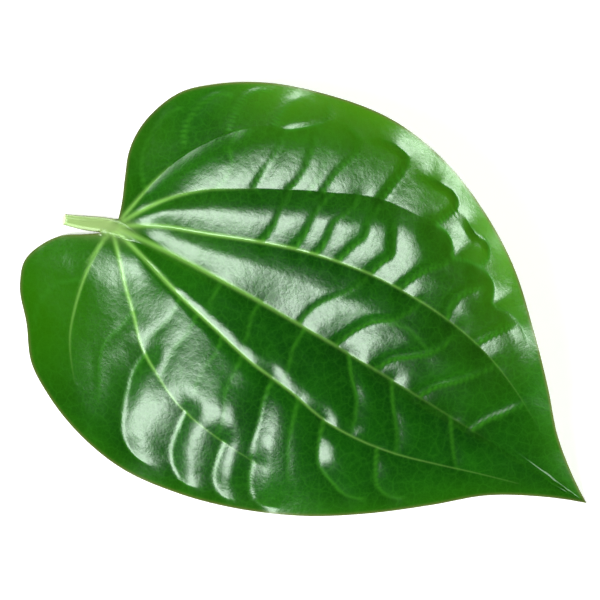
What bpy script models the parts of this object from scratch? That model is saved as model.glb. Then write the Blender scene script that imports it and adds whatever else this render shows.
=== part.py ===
"""A betel leaf, picked and laid face up: heart-shaped blade, ribs, puckered net and a short cut stalk.

The leaf grew as one piece and is one closed body. Lengths below are in millimetres and are turned
into metres at the end. X runs from the stalk's joint to the tip, Y across the blade, Z up.
"""
import math

import bmesh
import bpy
import numpy as np
from mathutils import Vector
from mathutils.geometry import delaunay_2d_cdt

MM = 0.001

# Real sizes
BLADE_LENGTH = 130.0
BLADE_THICKNESS = 0.78
STALK_START = (-11.6, -3.95)

# Main ribs: how deep they draw the blade in, how much of it each takes, how far it is felt to its
# left and right, where it dies out along a rib, and how narrow it starts at the joint
DIP_POWER = 1.6
RIB_RELIEF = 1.4
RIB_SHARES = (0.8, 1.0, 0.85, 0.5, 0.45, 0.35, 0.1)
REACH_LEFT = (12, 13, 12, 8, 3.5, 6, 6)
REACH_RIGHT = (6, 9, 8, 4, 4, 5, 6)
RIB_FADE = 0.75
RIB_NARROW = 0.15
RIB_WIDE_BY = 0.45

# Side veins: the relief they share, how much of it each kind takes, how far it is felt toward the
# tip and toward the stalk, and from where on the relief dies out along a vein
VEIN_RELIEF = 0.85
DEEP_DIP = (1.0, 7.5, 2.3)
DEEP_DIP_RIGHT = (0.62, 3.8, 8.0)
STRONG_DIP = (0.42, 5.0, 1.6)
FAINT_DIP = (0.14, 3.0, 1.6)
VEIN_FADE = 0.8

# How far the margin rises, on the right half everywhere and on the left half growing along the leaf
RIM_LIFT = 0.6
RIM_LIFT_ALONG = ((40, 85), (0.2, 1.0))
RIM_REACH = 6.0

# All relief dies out toward the joint. Below, ribs stand out by their stoutness, as (at the tip,
# more at the joint)
JOINT_REACH = 8.0
RIB_STOUTNESS = (1.1, 0.85, 0.8, 0.7, 0.85, 0.8, 0.7)
KEEL_HALF_WIDTH = (0.55, 0.75)
KEEL_DEPTH = (0.25, 0.75)

# The margin's slack waves, as (height, waves round the leaf, start), and how far in they reach
EDGE_WAVES = ((0.45, 7, 0.6), (0.3, 12, 2.0))
WAVE_REACH = 5.0

# The leaf is let down until its lowest places lie flat on the table, eased in over a small height
LET_DOWN = 2.15
TABLE_EASE = 0.35

# How far the bending sheet may miss its spot heights
SHEET_SLACK = 3.0

# Spacing of the corners of the mesh along edge, stalk and lines, and in the cells between them
EDGE_STEP = 2.0
STALK_STEP = 1.3
LINE_STEP = 1.9
LINE_DETAIL = 0.5
FILL_STEP = 2.35
BESIDE_RIB = (1.25, 0.8)
ACROSS_STALK = (0, 0.5, -0.5, 0.82, -0.82)

# Room that a corner leaves to the others and to the edge
STALK_ROOM = (0.28, 0.2)
RIB_ROOM = (0.8, 0.6)
BESIDE_ROOM = (0.75, 0.8)
VEIN_ROOM = (1.15, 0.9)
FILL_ROOM = (1.55, 1.1)
BUCKET = 4

# Margin of the two halves, from the notch at the stalk to the tip
MARGIN_LEFT = [(-0.5, 2.6), (-1.6, 6), (-4.2, 12), (-6.5, 18), (-7.0, 23.5), (-5.8, 30), (-3.0, 36), (3.5, 42),
               (13.6, 48), (26, 52.3), (45, 55.2), (60, 52.8), (74, 47), (86, 39.6), (98, 28.8), (108, 18.7),
               (116, 10), (122, 5.2), (BLADE_LENGTH, 0)]
MARGIN_RIGHT = [(-2.6, -2.5), (-6, -4.8), (-10, -7.4), (-13, -11.3), (-14.9, -17.2), (-13, -22.7), (-7, -29.8),
                (-1, -37.6), (6, -42), (17, -46.3), (30, -48.4), (44, -46.8), (58, -42.9), (72, -36.8),
                (86, -28), (98, -18.7), (108, -10.4), (118, -4.9), (BLADE_LENGTH, 0)]

# Stalk: centre line, then half width and half height along it
STALK_LINE = [STALK_START, (-6.7, -2.15), (-3.6, -0.75), (-0.6, 0.35), (4, 0.95), (9, 1.35)]
STALK_RUN = (0.0, 5.2, 8.6, 11.9, 16.6, 21.6)
STALK_HALF_WIDTH = (1.3, 1.75, 1.9, 1.9, 1.2, 0.8)
STALK_TOP = (1.3, 1.42, 1.4, 1.15, 0.45, 0.0)
STALK_BOTTOM = (1.3, 1.45, 1.55, 1.7, 1.4, 1.1)

# Main ribs, from the joint outward
MIDRIB = [(0.7, 0.5), (8, 1.3), (20, 2.1), (36, 2.5), (55, 2.5), (72, 2.2), (90, 1.6), (110, 0.9), (129, 0)]
RIBS = [
    [(0.6, 1.2), (8, 5.6), (20, 10.3), (30, 14.2), (40, 17.6), (50, 20), (60, 21.4), (70, 21.6), (80, 20.9),
     (90, 19), (100, 15.3), (110, 10.2), (117, 6.4)],
    [(0.4, 1.8), (3.6, 7.6), (8, 13.4), (14, 18.9), (20, 22.6), (30, 28.2), (40, 33.1), (50, 37.4), (60, 38.7),
     (66, 38.9)],
    [(0, 2.3), (1, 8), (2.2, 14), (4, 20), (7.5, 27), (12, 33.3), (18, 38.5), (24, 41)],
    [(0.6, -0.2), (8, -2.0), (20, -5.4), (32, -8.2), (44, -10.9), (56, -12.3), (66, -14.1), (76, -13.9),
     (84, -12.6), (94, -9.8), (104, -6.7), (113, -4.2)],
    [(0.1, -0.9), (4, -5), (8, -9.4), (14, -15.2), (20, -21.2), (26, -24.7), (34, -28.4), (44, -30.3),
     (54, -31), (64, -31)],
    [(-0.8, -1.6), (-1.1, -6), (-0.6, -13), (0.9, -20), (3.6, -27.5), (8.5, -34.5), (14, -40)],
]

# Side veins between which the blade swells into cushions
DEEP = [
    [(59.5, 2.5), (61.2, 7), (64, 11.3), (68.5, 15), (71.5, 21.6)],
    [(70.5, 2.2), (72.8, 6.5), (76.3, 9.2), (79.8, 12.3), (82.5, 20.6)],
    [(82.5, 1.8), (84.5, 5.5), (88, 9), (91.5, 13), (94.5, 17.5)],
    [(97.5, 1.4), (99.3, 5.2), (102, 8.6), (104.8, 13)],
    [(58, 21.2), (59, 24.5), (60.3, 27.6), (58.8, 31), (57.2, 34)],
    [(66, 21.6), (67.3, 25.5), (69.3, 28.8), (71.8, 31.6), (72.7, 34.3)],
    [(79, 21), (78.3, 25), (80, 29), (82.5, 31.5)],
    [(88, 19.6), (90.6, 24), (94, 28.5)],
    [(51.7, 38), (52.2, 42), (52.6, 46), (51.6, 49.4), (49, 50.3), (44.5, 50)],
    [(65.5, 38.9), (66.8, 42), (67.6, 45), (66, 47.3), (62, 47.9), (58, 47.5)],
    [(79.2, 35.5), (79.7, 39.3), (78, 41.4), (74.5, 41.8), (71, 43.8)],
    [(66, 38.9), (69.6, 38.3), (71.5, 36.4), (72.7, 34.3), (76, 35.3), (80, 35.5), (83.8, 34.1), (85.4, 31.6),
     (86.2, 29.6), (90, 29.7), (94, 28.8), (97.5, 26.3)],
    [(63, 2.3), (66.5, -2.3), (70, -6), (71.6, -9.5), (73, -13.8)],
    [(75, 2), (78, -2.8), (81, -6.5), (83, -9.5), (84.4, -12.6)],
    [(91.5, 1.4), (94.5, -3.3), (97.3, -6.8), (99, -8.4)],
    [(50.3, -11.8), (51.2, -17.5), (53, -23), (54, -27.5), (55.5, -31)],
    [(65.8, -14.2), (67.3, -19), (70.2, -23.8), (74.5, -25.8), (78.8, -26.9), (83, -25.7)],
    [(80, -13.6), (82, -17.8), (84.6, -21.3), (88, -22.1), (91, -20.8)],
    [(21.2, -22), (20.8, -27), (22, -32), (23.8, -37), (26.5, -41.6), (30.5, -44), (34.5, -44.3)],
    [(36.5, -29), (36.9, -33.5), (38, -38.5), (40.5, -41.8), (44, -43.8), (47.5, -43.3)],
    [(48, -30.6), (48.6, -34.5), (50, -39), (52.8, -41.7), (56.5, -41.4)],
    [(56.3, -31), (57.8, -35.3), (60, -38.3), (63.5, -39), (66.5, -37.8)],
]

# Side veins that crease it sharply
STRONG = [
    [(49.5, 2.5), (50.3, 7), (52.5, 11), (55.5, 15), (58, 21.2)],
    [(32, 15), (32.6, 20), (32, 25), (31.4, 28.8)],
    [(39.5, 17.5), (40, 23), (39.6, 27.5), (40.8, 33.4)],
    [(44.5, 18.8), (45.2, 23), (44.6, 27.5), (46.2, 31.5), (46.5, 36)],
    [(50, 20), (51, 24), (52.6, 28), (51.6, 32), (52.3, 38)],
    [(24, 25), (24, 30), (24.4, 36), (23.6, 40.6)],
    [(31.6, 29), (32.4, 34), (31.6, 39), (30.2, 45)],
    [(38.8, 32.6), (39, 37), (40.2, 41.4), (41, 45), (39.6, 47.4), (36.5, 48.4)],
    [(4.3, 25.5), (2.6, 29), (2.2, 33), (3.2, 37), (5, 39.8), (8, 41.3)],
    [(11.8, 33.6), (11, 37.5), (10.9, 41), (12, 44.3), (15, 46.6)],
    [(20.6, 40.2), (20.4, 43.5), (20.8, 46.5), (22.5, 49.4)],
    [(24, 41), (26.5, 43), (29, 45.2), (30.7, 47.5), (30, 50.5)],
]

# Side veins that barely dent it
FAINT = [
    [(28, 2.3), (28.5, -2), (29, -7.6)],
    [(39, 2.5), (38.8, -2), (40, -6), (40.6, -10)],
    [(51, 2.5), (50.8, -2), (52, -7), (53, -12)],
    [(21.5, -5.8), (21.9, -11), (20.5, -16), (19, -20)],
    [(27, -7), (27.4, -12), (26.5, -17), (27.5, -25)],
    [(35, -9), (35.6, -14), (35, -19), (36, -24)],
    [(41.5, -10.3), (41.8, -16), (42.4, -20.5), (44.5, -24.7), (46, -30.5)],
    [(58, -12.6), (59.5, -18), (61.5, -23.5), (64, -28), (66, -31)],
    [(13.4, -14.6), (12.6, -20), (11.4, -24), (12.3, -28), (14.5, -32), (17, -37)],
    [(-0.6, -14.5), (-4.5, -17), (-6.6, -20.5), (-7, -24.5), (-5, -29)],
    [(1.8, 12), (-2, 16), (-3.8, 22), (-3.7, 28), (-1, 33)],
    [(35.6, 31), (35.9, 36), (34.8, 41)],
    [(64, 11.8), (68, 13.6), (72, 14.4), (76, 13.4), (79.5, 12)],
    [(16, 20.5), (16.5, 27), (14, 31), (14, 35)],
]

# Spot heights of the cells' crowns in the laid leaf, as (x, y, height): low at the tip and at the
# two lobes behind the stalk, arched between them, its left half risen and its right lobe lying flat
SPOTS = [
    (-11.6, -3.95, 4.2), (-0.6, 0.35, 3.0), (9, 1.3, 4.2), (20, 2.1, 6.6), (42, 2.5, 10.0), (62, 2.4, 12.2),
    (75, 2.1, 12.9), (85, 1.8, 12.6), (108, 0.9, 8.6), (118, 0.5, 5.2), (130, 0, 0.9),
    (7, 10, 6.0), (30, 14.2, 10.7), (50, 20, 14.2), (70, 21.6, 16.4), (90, 19, 14.9), (110, 10, 9.4),
    (20, 22.6, 10.6), (40, 33, 15.6), (60, 38.7, 18.2), (78, 36, 18.0),
    (1, 14, 3.4), (7.5, 27, 7.2), (18, 38.5, 11.4),
    (-6.5, 20, 1.4), (-5, 29, 2.2), (1, 39, 4.8), (20, 51, 12.2), (42, 55, 17.2), (62, 52, 20.0), (80, 43, 20.0),
    (98, 28, 16.6), (108, 18.7, 12.8), (118, 8, 7.4),
    (8, -2, 5.0), (20, -5.4, 7.6), (30, -7.8, 9.2), (44, -10.9, 11.2), (66, -14, 13.2), (84, -12.6, 13.0),
    (104, -6.7, 9.3),
    (20, -10, 7.6), (20, -15.5, 7.3), (30, -13, 9.2), (30, -18.5, 9.1), (44, -18, 11.3), (44, -23.5, 11.2),
    (58, -18, 12.8), (58, -25, 12.3), (74, -24, 12.7),
    (8, -9.4, 3.7), (14, -15.2, 4.1), (20, -21.2, 5.3), (26, -24.7, 6.3), (34, -28.4, 7.7), (44, -30.3, 9.2),
    (56, -31, 10.3), (64, -31, 10.8),
    (-14, -17, 3.0), (-8, -22, 2.2), (-2, -20, 2.0), (-7, -30, 3.0), (0, -37, 3.0), (4, -28, 2.6), (12, -34, 3.2),
    (10, -42, 3.2), (17, -46, 3.5), (20, -34, 4.3), (28, -37, 4.8), (30, -47, 3.9), (38, -40, 5.5), (44, -47, 5.0),
    (58, -43, 6.9), (72, -37, 8.8), (86, -28, 9.9), (98, -18.5, 9.2), (108, -10, 7.5), (118, -4.5, 5.0),
]


def steps_along(line):
    """Length run along a line at each of its points."""
    return np.concatenate([[0], np.cumsum(np.linalg.norm(np.diff(line, axis=0), axis=1))])


def smooth_curve(points, step):
    """Points about a step apart along a smooth curve through the given ones."""
    knots = np.array(points, float)
    chord = np.linalg.norm(np.diff(knots, axis=0), axis=1)
    secant = np.diff(knots, axis=0) / chord[:, None]
    slope = np.empty_like(knots)
    near = chord[:-1, None]
    far = chord[1:, None]
    slope[1:-1] = (secant[:-1] * far + secant[1:] * near) / (near + far)
    slope[0] = 2 * secant[0] - slope[1]
    slope[-1] = 2 * secant[-1] - slope[-2]
    fine = []
    for k, run in enumerate(chord):
        t = np.linspace(0, 1, 20, endpoint=False)[:, None]
        start = knots[k] * (2 * t ** 3 - 3 * t ** 2 + 1) + slope[k] * run * (t ** 3 - 2 * t ** 2 + t)
        end = knots[k + 1] * (3 * t ** 2 - 2 * t ** 3) + slope[k + 1] * run * (t ** 3 - t ** 2)
        fine.append(start + end)
    fine.append(knots[-1:])
    fine = np.vstack(fine)
    run = steps_along(fine)
    stops = np.linspace(0, run[-1], max(2, round(run[-1] / step) + 1))
    return np.stack([np.interp(stops, run, fine[:, 0]), np.interp(stops, run, fine[:, 1])], axis=1)


def nearest(places, line):
    """Distance from each place to a line, how far along it the nearest point is, and its side."""
    gap = np.full(len(places), 1e9)
    along = np.zeros(len(places))
    side = np.zeros(len(places))
    last = len(line) - 1
    for k in range(last):
        step = line[k + 1] - line[k]
        share = np.clip(((places - line[k]) @ step) / (step @ step), 0, 1)
        away = places - line[k] - share[:, None] * step
        here = np.hypot(away[:, 0], away[:, 1])
        closer = here < gap
        gap[closer] = here[closer]
        along[closer] = (k + share[closer]) / last
        leaning = (step[0] * away[:, 1] - step[1] * away[:, 0]) / np.maximum(here * np.hypot(*step), 1e-9)
        side[closer] = leaning[closer]
    return gap, along, side


def close_to(places, line, room):
    """The same as nearest for the places within some room of the line; the others count as far away."""
    close = np.all((places > line.min(axis=0) - room) & (places < line.max(axis=0) + room), axis=1)
    gap = np.full(len(places), 1e9)
    along = np.zeros(len(places))
    side = np.zeros(len(places))
    gap[close], along[close], side[close] = nearest(places[close], line)
    return gap, along, side


def dip(gap, reach):
    """Share of a crease's depth at a distance from it: sharp at the crease, gone at its reach."""
    return np.clip(1 - gap / reach, 0, 1) ** DIP_POWER


def fade(along, start):
    """Full strength along a line up to a share of it, then dying out to its end."""
    return np.clip((1 - along) / (1 - start), 0, 1)


def bending_sheet(spots):
    """A thin bending sheet laid through the spot heights."""
    known = np.array(spots, float)

    def pull(first, second):
        square = ((first[:, None, :] - second[None, :, :]) ** 2).sum(axis=2)
        return square * np.log(square + 1e-9)

    places = known[:, :2]
    flat = np.hstack([np.ones((len(places), 1)), places])
    stiff = pull(places, places) + SHEET_SLACK * np.eye(len(places))
    matrix = np.block([[stiff, flat], [flat.T, np.zeros((3, 3))]])
    weight = np.linalg.solve(matrix, np.concatenate([known[:, 2], np.zeros(3)]))

    def height(wanted):
        plane = np.hstack([np.ones((len(wanted), 1)), wanted])
        return pull(wanted, places) @ weight[:-3] + plane @ weight[-3:]

    return height


def off_table(height):
    """Ease a height that would dip under the table onto it."""
    eased = (height + TABLE_EASE) ** 2 / (4 * TABLE_EASE)
    return np.where(height > TABLE_EASE, height, np.where(height < -TABLE_EASE, 0, eased))


MARGIN_LINE = np.vstack([smooth_curve(MARGIN_LEFT, 1.0), smooth_curve(MARGIN_RIGHT, 1.0)[-2::-1]])
RIB_LINES = [smooth_curve(line, LINE_DETAIL) for line in [MIDRIB] + RIBS]
DEEP_LINES = [smooth_curve(vein, LINE_DETAIL) for vein in DEEP]
STRONG_LINES = [smooth_curve(vein, LINE_DETAIL) for vein in STRONG]
FAINT_LINES = [smooth_curve(vein, LINE_DETAIL) for vein in FAINT]
STALK_CURVE = smooth_curve(STALK_LINE, LINE_DETAIL)
STALK_STEPS = steps_along(STALK_CURVE)
SHEET = bending_sheet(SPOTS)


class Relief:
    """How near a set of places is to every line, and the heights that follow from it."""

    def __init__(self, places):
        self.places = places
        self.ribs = [close_to(places, line, max(REACH_LEFT)) for line in RIB_LINES]
        self.deep = [close_to(places, line, DEEP_DIP_RIGHT[2]) for line in DEEP_LINES]
        self.strong = [close_to(places, line, STRONG_DIP[1]) for line in STRONG_LINES]
        self.faint = [close_to(places, line, FAINT_DIP[1]) for line in FAINT_LINES]
        self.rim = nearest(places, MARGIN_LINE)
        self.stalk = close_to(places, STALK_CURVE, JOINT_REACH)

    def pucker(self):
        """How deep the blade is drawn in along ribs and veins, against the crowns of its cells."""
        wide = np.ones(len(self.places))
        for (gap, along, side), share, on_left, on_right in zip(self.ribs, RIB_SHARES, REACH_LEFT, REACH_RIGHT):
            reach = np.interp(side, (-1, 1), (on_right, on_left))
            grown = np.interp(along, (0, RIB_WIDE_BY), (RIB_NARROW, 1))
            wide *= 1 - share * grown * dip(gap, reach * grown) * fade(along, RIB_FADE)
        small = np.ones(len(self.places))
        for veins, lines, on_left, on_right in ((self.deep, DEEP_LINES, DEEP_DIP, DEEP_DIP_RIGHT),
                                                (self.strong, STRONG_LINES, STRONG_DIP, STRONG_DIP),
                                                (self.faint, FAINT_LINES, FAINT_DIP, FAINT_DIP)):
            for (gap, along, side), line in zip(veins, lines):
                rightward = line[-1, 1] < line[0, 1]
                share, tipward, stalkward = on_right if rightward else on_left
                reach = np.interp(side if rightward else -side, (-1, 1), (stalkward, tipward))
                small *= 1 - share * dip(gap, reach) * fade(along, VEIN_FADE)
        joint = 1 - dip(self.stalk[0], JOINT_REACH)
        lift = np.interp(self.places[:, 0], *RIM_LIFT_ALONG)
        rim = np.where(self.places[:, 1] > 0, lift, RIM_LIFT) * dip(self.rim[0], RIM_REACH)
        return joint * (rim - RIB_RELIEF * (1 - wide) - VEIN_RELIEF * (1 - small))

    def edge_wave(self):
        """The margin's slack, gentle wave, dying out a few millimetres inside."""
        gap, along, side = self.rim
        swing = sum(high * np.sin(2 * math.pi * waves * along + start) for high, waves, start in EDGE_WAVES)
        return swing * np.exp(-gap / WAVE_REACH)

    def stalk_bulge(self):
        """How far the stalk and its run into the midrib stand above and below the blade."""
        gap, along, side = self.stalk
        run = along * STALK_STEPS[-1]
        half = np.interp(run, STALK_RUN, STALK_HALF_WIDTH)
        round_off = np.sqrt(np.clip(1 - (gap / half) ** 2, 0, 1))
        above = np.interp(run, STALK_RUN, STALK_TOP) * round_off
        below = np.interp(run, STALK_RUN, STALK_BOTTOM) * round_off
        return above, below

    def keel(self):
        """Ribs standing out of the underside, thick at the joint and fading outward."""
        deepest = np.zeros(len(self.places))
        for (gap, along, side), stout in zip(self.ribs, RIB_STOUTNESS):
            half = KEEL_HALF_WIDTH[0] + KEEL_HALF_WIDTH[1] * stout * (1 - along)
            depth = stout * (KEEL_DEPTH[0] + KEEL_DEPTH[1] * (1 - along))
            deepest = np.maximum(deepest, depth * np.exp(-(gap / half) ** 2))
        return deepest

    def heights(self):
        """Upper and lower face, the lower one never under the table."""
        above, below = self.stalk_bulge()
        sheet = SHEET(self.places) + self.pucker() + self.edge_wave() - BLADE_THICKNESS / 2 - LET_DOWN
        lower = off_table(sheet - np.maximum(self.keel(), below))
        upper = off_table(sheet) + BLADE_THICKNESS + above
        return upper, lower


def offset(line, distance):
    """A line run beside another at a distance."""
    along = np.gradient(line, axis=0)
    along = along / np.linalg.norm(along, axis=1)[:, None]
    return line + np.stack([-along[:, 1], along[:, 0]], axis=1) * np.reshape(distance, (-1, 1))


def plan_outline():
    """The closed outline seen from above: stalk, left margin, tip, right margin."""
    left = smooth_curve(MARGIN_LEFT, EDGE_STEP)
    right = smooth_curve(MARGIN_RIGHT, EDGE_STEP)
    stalk = smooth_curve(STALK_LINE[:4], STALK_STEP)
    half = np.interp(steps_along(stalk), STALK_RUN, STALK_HALF_WIDTH)
    upper_side = offset(stalk, half)[:-1]
    lower_side = offset(stalk, -half)[:-2]
    cut = np.linspace(lower_side[0], upper_side[0], 5)[1:-1]
    return np.vstack([upper_side, left, right[::-1][1:], lower_side[::-1], cut])


def inside(places, outline, room):
    """Which places lie inside the outline and at least some room from it."""
    closed = np.vstack([outline, outline[:1]])
    gap, along, side = nearest(places, closed)
    crossings = np.zeros(len(places), int)
    for a, b in zip(closed[:-1], closed[1:]):
        if a[1] != b[1]:
            spans = (a[1] > places[:, 1]) != (b[1] > places[:, 1])
            meets = a[0] + (places[:, 1] - a[1]) * (b[0] - a[0]) / (b[1] - a[1])
            crossings += spans & (places[:, 0] < meets)
    return (crossings % 2 == 1) & (gap > room)


class Corners:
    """Corners of the mesh in the plan, none too close to another."""

    def __init__(self, outline):
        self.outline = outline
        self.kept = []
        self.buckets = {}
        for place in outline:
            self.keep(place)

    def keep(self, place):
        self.kept.append(tuple(place))
        self.buckets.setdefault((place[0] // BUCKET, place[1] // BUCKET), []).append(place)

    def crowded(self, place, room):
        col = place[0] // BUCKET
        row = place[1] // BUCKET
        near = [other for i in (-1, 0, 1) for j in (-1, 0, 1) for other in self.buckets.get((col + i, row + j), ())]
        return any(math.hypot(place[0] - other[0], place[1] - other[1]) < room for other in near)

    def add(self, places, room):
        """Keep the places that lie inside and have room to the others and to the edge."""
        between, to_edge = room
        for place in places[inside(places, self.outline, to_edge)]:
            if not self.crowded(place, between):
                self.keep(place)


def plan_corners():
    """Outline first, then corners on stalk, ribs, beside ribs, on veins and in the cells between."""
    outline = plan_outline()
    corners = Corners(outline)
    stalk = smooth_curve(STALK_LINE, STALK_STEP)
    half = np.interp(steps_along(stalk), STALK_RUN, STALK_HALF_WIDTH)
    for share in ACROSS_STALK:
        corners.add(offset(stalk, half * share), STALK_ROOM)
    ribs = [smooth_curve(rib, LINE_STEP) for rib in [MIDRIB] + RIBS]
    for rib in ribs:
        corners.add(rib, RIB_ROOM)
    for rib in ribs:
        beside = np.linspace(*BESIDE_RIB, len(rib))
        corners.add(offset(rib, beside), BESIDE_ROOM)
        corners.add(offset(rib, -beside), BESIDE_ROOM)
    for vein in DEEP + STRONG + FAINT:
        corners.add(smooth_curve(vein, LINE_STEP), VEIN_ROOM)
    low = outline.min(axis=0)
    high = outline.max(axis=0)
    columns = np.arange(low[0], high[0], FILL_STEP)
    rows = np.arange(low[1], high[1], FILL_STEP * math.sqrt(3) / 2)
    grid = [(x + FILL_STEP / 2 * (k % 2), y) for k, y in enumerate(rows) for x in columns]
    corners.add(np.array(grid), FILL_ROOM)
    return np.array(corners.kept), len(outline)


def make_leaf():
    """Split the plan into triangles, set both faces at their heights and close the edge."""
    places, rim_count = plan_corners()
    rim = [(k, (k + 1) % rim_count) for k in range(rim_count)]
    flat = [Vector((float(x), float(y))) for x, y in places]
    result = delaunay_2d_cdt(flat, rim, [list(range(rim_count))], 1, 1e-6)
    spots = np.array([tuple(place) for place in result[0]])
    triangles = [tuple(face) for face in result[2]]
    upper, lower = Relief(spots).heights()
    middle = (spots.min(axis=0) + spots.max(axis=0)) / 2
    body = bmesh.new()
    top = []
    under = []
    for (x, y), high, low in zip(spots - middle, upper, lower):
        top.append(body.verts.new((x * MM, y * MM, high * MM)))
        under.append(body.verts.new((x * MM, y * MM, low * MM)))
    for a, b, c in triangles:
        body.faces.new((top[a], top[b], top[c]))
        body.faces.new((under[c], under[b], under[a]))
    sides = {side for face in triangles for side in zip(face, face[1:] + face[:1])}
    for a, b in sorted(sides):
        if (b, a) not in sides:
            body.faces.new((under[a], under[b], top[b]))
            body.faces.new((under[a], top[b], top[a]))
    bmesh.ops.recalc_face_normals(body, faces=body.faces)
    mesh = bpy.data.meshes.new("leaf")
    body.to_mesh(mesh)
    body.free()
    leaf = bpy.data.objects.new("leaf", mesh)
    bpy.context.collection.objects.link(leaf)
    return leaf


def leaf_green():
    """Fresh, waxy green of the upper face."""
    material = bpy.data.materials.new("leaf_green")
    material.use_nodes = True
    shader = material.node_tree.nodes["Principled BSDF"]
    shader.inputs["Base Color"].default_value = (0.03, 0.13, 0.008, 1)
    shader.inputs["Roughness"].default_value = 0.4
    return material


for item in list(bpy.data.objects):
    bpy.data.objects.remove(item, do_unlink=True)
leaf_object = make_leaf()
leaf_object.data.materials.append(leaf_green())
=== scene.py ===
"""A picked betel leaf lying face up: heart-shaped, glossy and puckered, with a short cut stalk."""
import math

import bmesh
import bpy
import numpy as np
from bpy.props import FloatProperty, FloatVectorProperty, PointerProperty
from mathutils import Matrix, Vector


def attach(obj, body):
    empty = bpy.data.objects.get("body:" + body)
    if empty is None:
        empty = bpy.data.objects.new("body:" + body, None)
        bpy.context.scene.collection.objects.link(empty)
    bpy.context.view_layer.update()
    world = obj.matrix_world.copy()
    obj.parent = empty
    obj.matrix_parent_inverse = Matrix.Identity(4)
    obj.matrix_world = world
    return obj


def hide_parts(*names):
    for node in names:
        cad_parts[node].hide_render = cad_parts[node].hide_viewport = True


bl_info = {
    "name": "Betel leaf",
    "version": (1, 0, 0),
    "blender": (4, 5, 0),
    "location": "3D View > Sidebar > Betel leaf",
    "description": "Builds a glossy, puckered betel leaf and the studio round it",
    "category": "Add Mesh",
}

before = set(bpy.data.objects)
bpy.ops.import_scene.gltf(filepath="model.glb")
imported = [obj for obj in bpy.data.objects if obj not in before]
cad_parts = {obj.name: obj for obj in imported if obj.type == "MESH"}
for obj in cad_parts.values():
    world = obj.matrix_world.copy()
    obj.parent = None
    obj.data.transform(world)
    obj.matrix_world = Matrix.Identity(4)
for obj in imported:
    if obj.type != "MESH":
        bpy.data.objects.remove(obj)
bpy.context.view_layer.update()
MM = 0.001

# The leaf's own plan, in millimetres: X from the stalk's joint to the tip, Y across the blade
TIP = (130, 0)
MARGIN_LEFT = [(-0.5, 2.6), (-1.6, 6), (-4.2, 12), (-6.5, 18), (-7.0, 23.5), (-5.8, 30), (-3.0, 36),
               (3.5, 42), (13.6, 48), (26, 52.3), (45, 55.2), (60, 52.8), (74, 47), (86, 39.6), (98, 28.8),
               (108, 18.7), (116, 10), (122, 5.2), TIP]
MARGIN_RIGHT = [(-2.6, -2.5), (-6, -4.8), (-10, -7.4), (-13, -11.3), (-14.9, -17.2), (-13, -22.7),
                (-7, -29.8), (-1, -37.6), (6, -42), (17, -46.3), (30, -48.4), (44, -46.8), (58, -42.9),
                (72, -36.8), (86, -28), (98, -18.7), (108, -10.4), (118, -4.9), TIP]

# Stalk: centre line, then half width and half height along it from the cut end
STALK_LINE = [(-11.6, -3.95), (-6.7, -2.15), (-3.6, -0.75), (-0.6, 0.35), (4, 0.95), (9, 1.35)]
STALK_RUN = (0.0, 5.2, 8.6, 11.9, 16.6, 21.6)
STALK_HALF_WIDTH = (1.3, 1.75, 1.9, 1.9, 1.2, 0.8)
STALK_TOP = (1.3, 1.42, 1.4, 1.15, 0.45, 0.0)
STALK_BOTTOM = (1.3, 1.45, 1.55, 1.7, 1.4, 1.1)

# Main ribs: the rib itself, then the line that its columns of mesh follow on to the tip
MIDRIB = [(0.7, 0.5), (8, 1.3), (20, 2.1), (36, 2.5), (55, 2.5), (72, 2.2), (90, 1.6), (110, 0.9), (129, 0)]
LEFT_RIBS = [
    ([(0, 2.3), (1, 8), (2.2, 14), (4, 20), (7.5, 27), (12, 33.3), (18, 38.5), (24, 41)],
     [(30, 45), (38, 48.4), (47, 50), (58, 48.6), (68, 45.2), (78, 40), (88, 33.6), (98, 25.3), (108, 16.4),
      (117, 8.2)]),
    ([(0.4, 1.8), (3.6, 7.6), (8, 13.4), (14, 18.9), (20, 22.6), (30, 28.2), (40, 33.1), (50, 37.4),
      (60, 38.7), (66, 38.9)],
     [(76, 35.4), (86, 30.2), (96, 23.8), (106, 16), (116, 8)]),
    ([(0.6, 1.2), (8, 5.6), (20, 10.3), (30, 14.2), (40, 17.6), (50, 20), (60, 21.4), (70, 21.6), (80, 20.9),
      (90, 19), (100, 15.3), (110, 10.2), (117, 6.4)],
     []),
]
RIGHT_RIBS = [
    ([(0.6, -0.2), (8, -2.0), (20, -5.4), (32, -8.2), (44, -10.9), (56, -12.3), (66, -14.1), (76, -13.9),
      (84, -12.6), (94, -9.8), (104, -6.7), (113, -4.2)],
     [(122, -1.6)]),
    ([(0.1, -0.9), (4, -5), (8, -9.4), (14, -15.2), (20, -21.2), (26, -24.7), (34, -28.4), (44, -30.3),
      (54, -31), (64, -31)],
     [(72, -28.6), (80, -25.4), (88, -21.2), (97, -15.4), (106, -9.2), (116, -4.3)]),
    ([(-0.8, -1.6), (-1.1, -6), (-0.6, -13), (0.9, -20), (3.6, -27.5), (8.5, -34.5), (14, -40)],
     [(26, -43.4), (36, -44.4), (46, -42.8), (58, -38.6), (70, -33.2), (82, -26.8), (94, -18.6),
      (105, -10.9), (116, -4.9)]),
]

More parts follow.
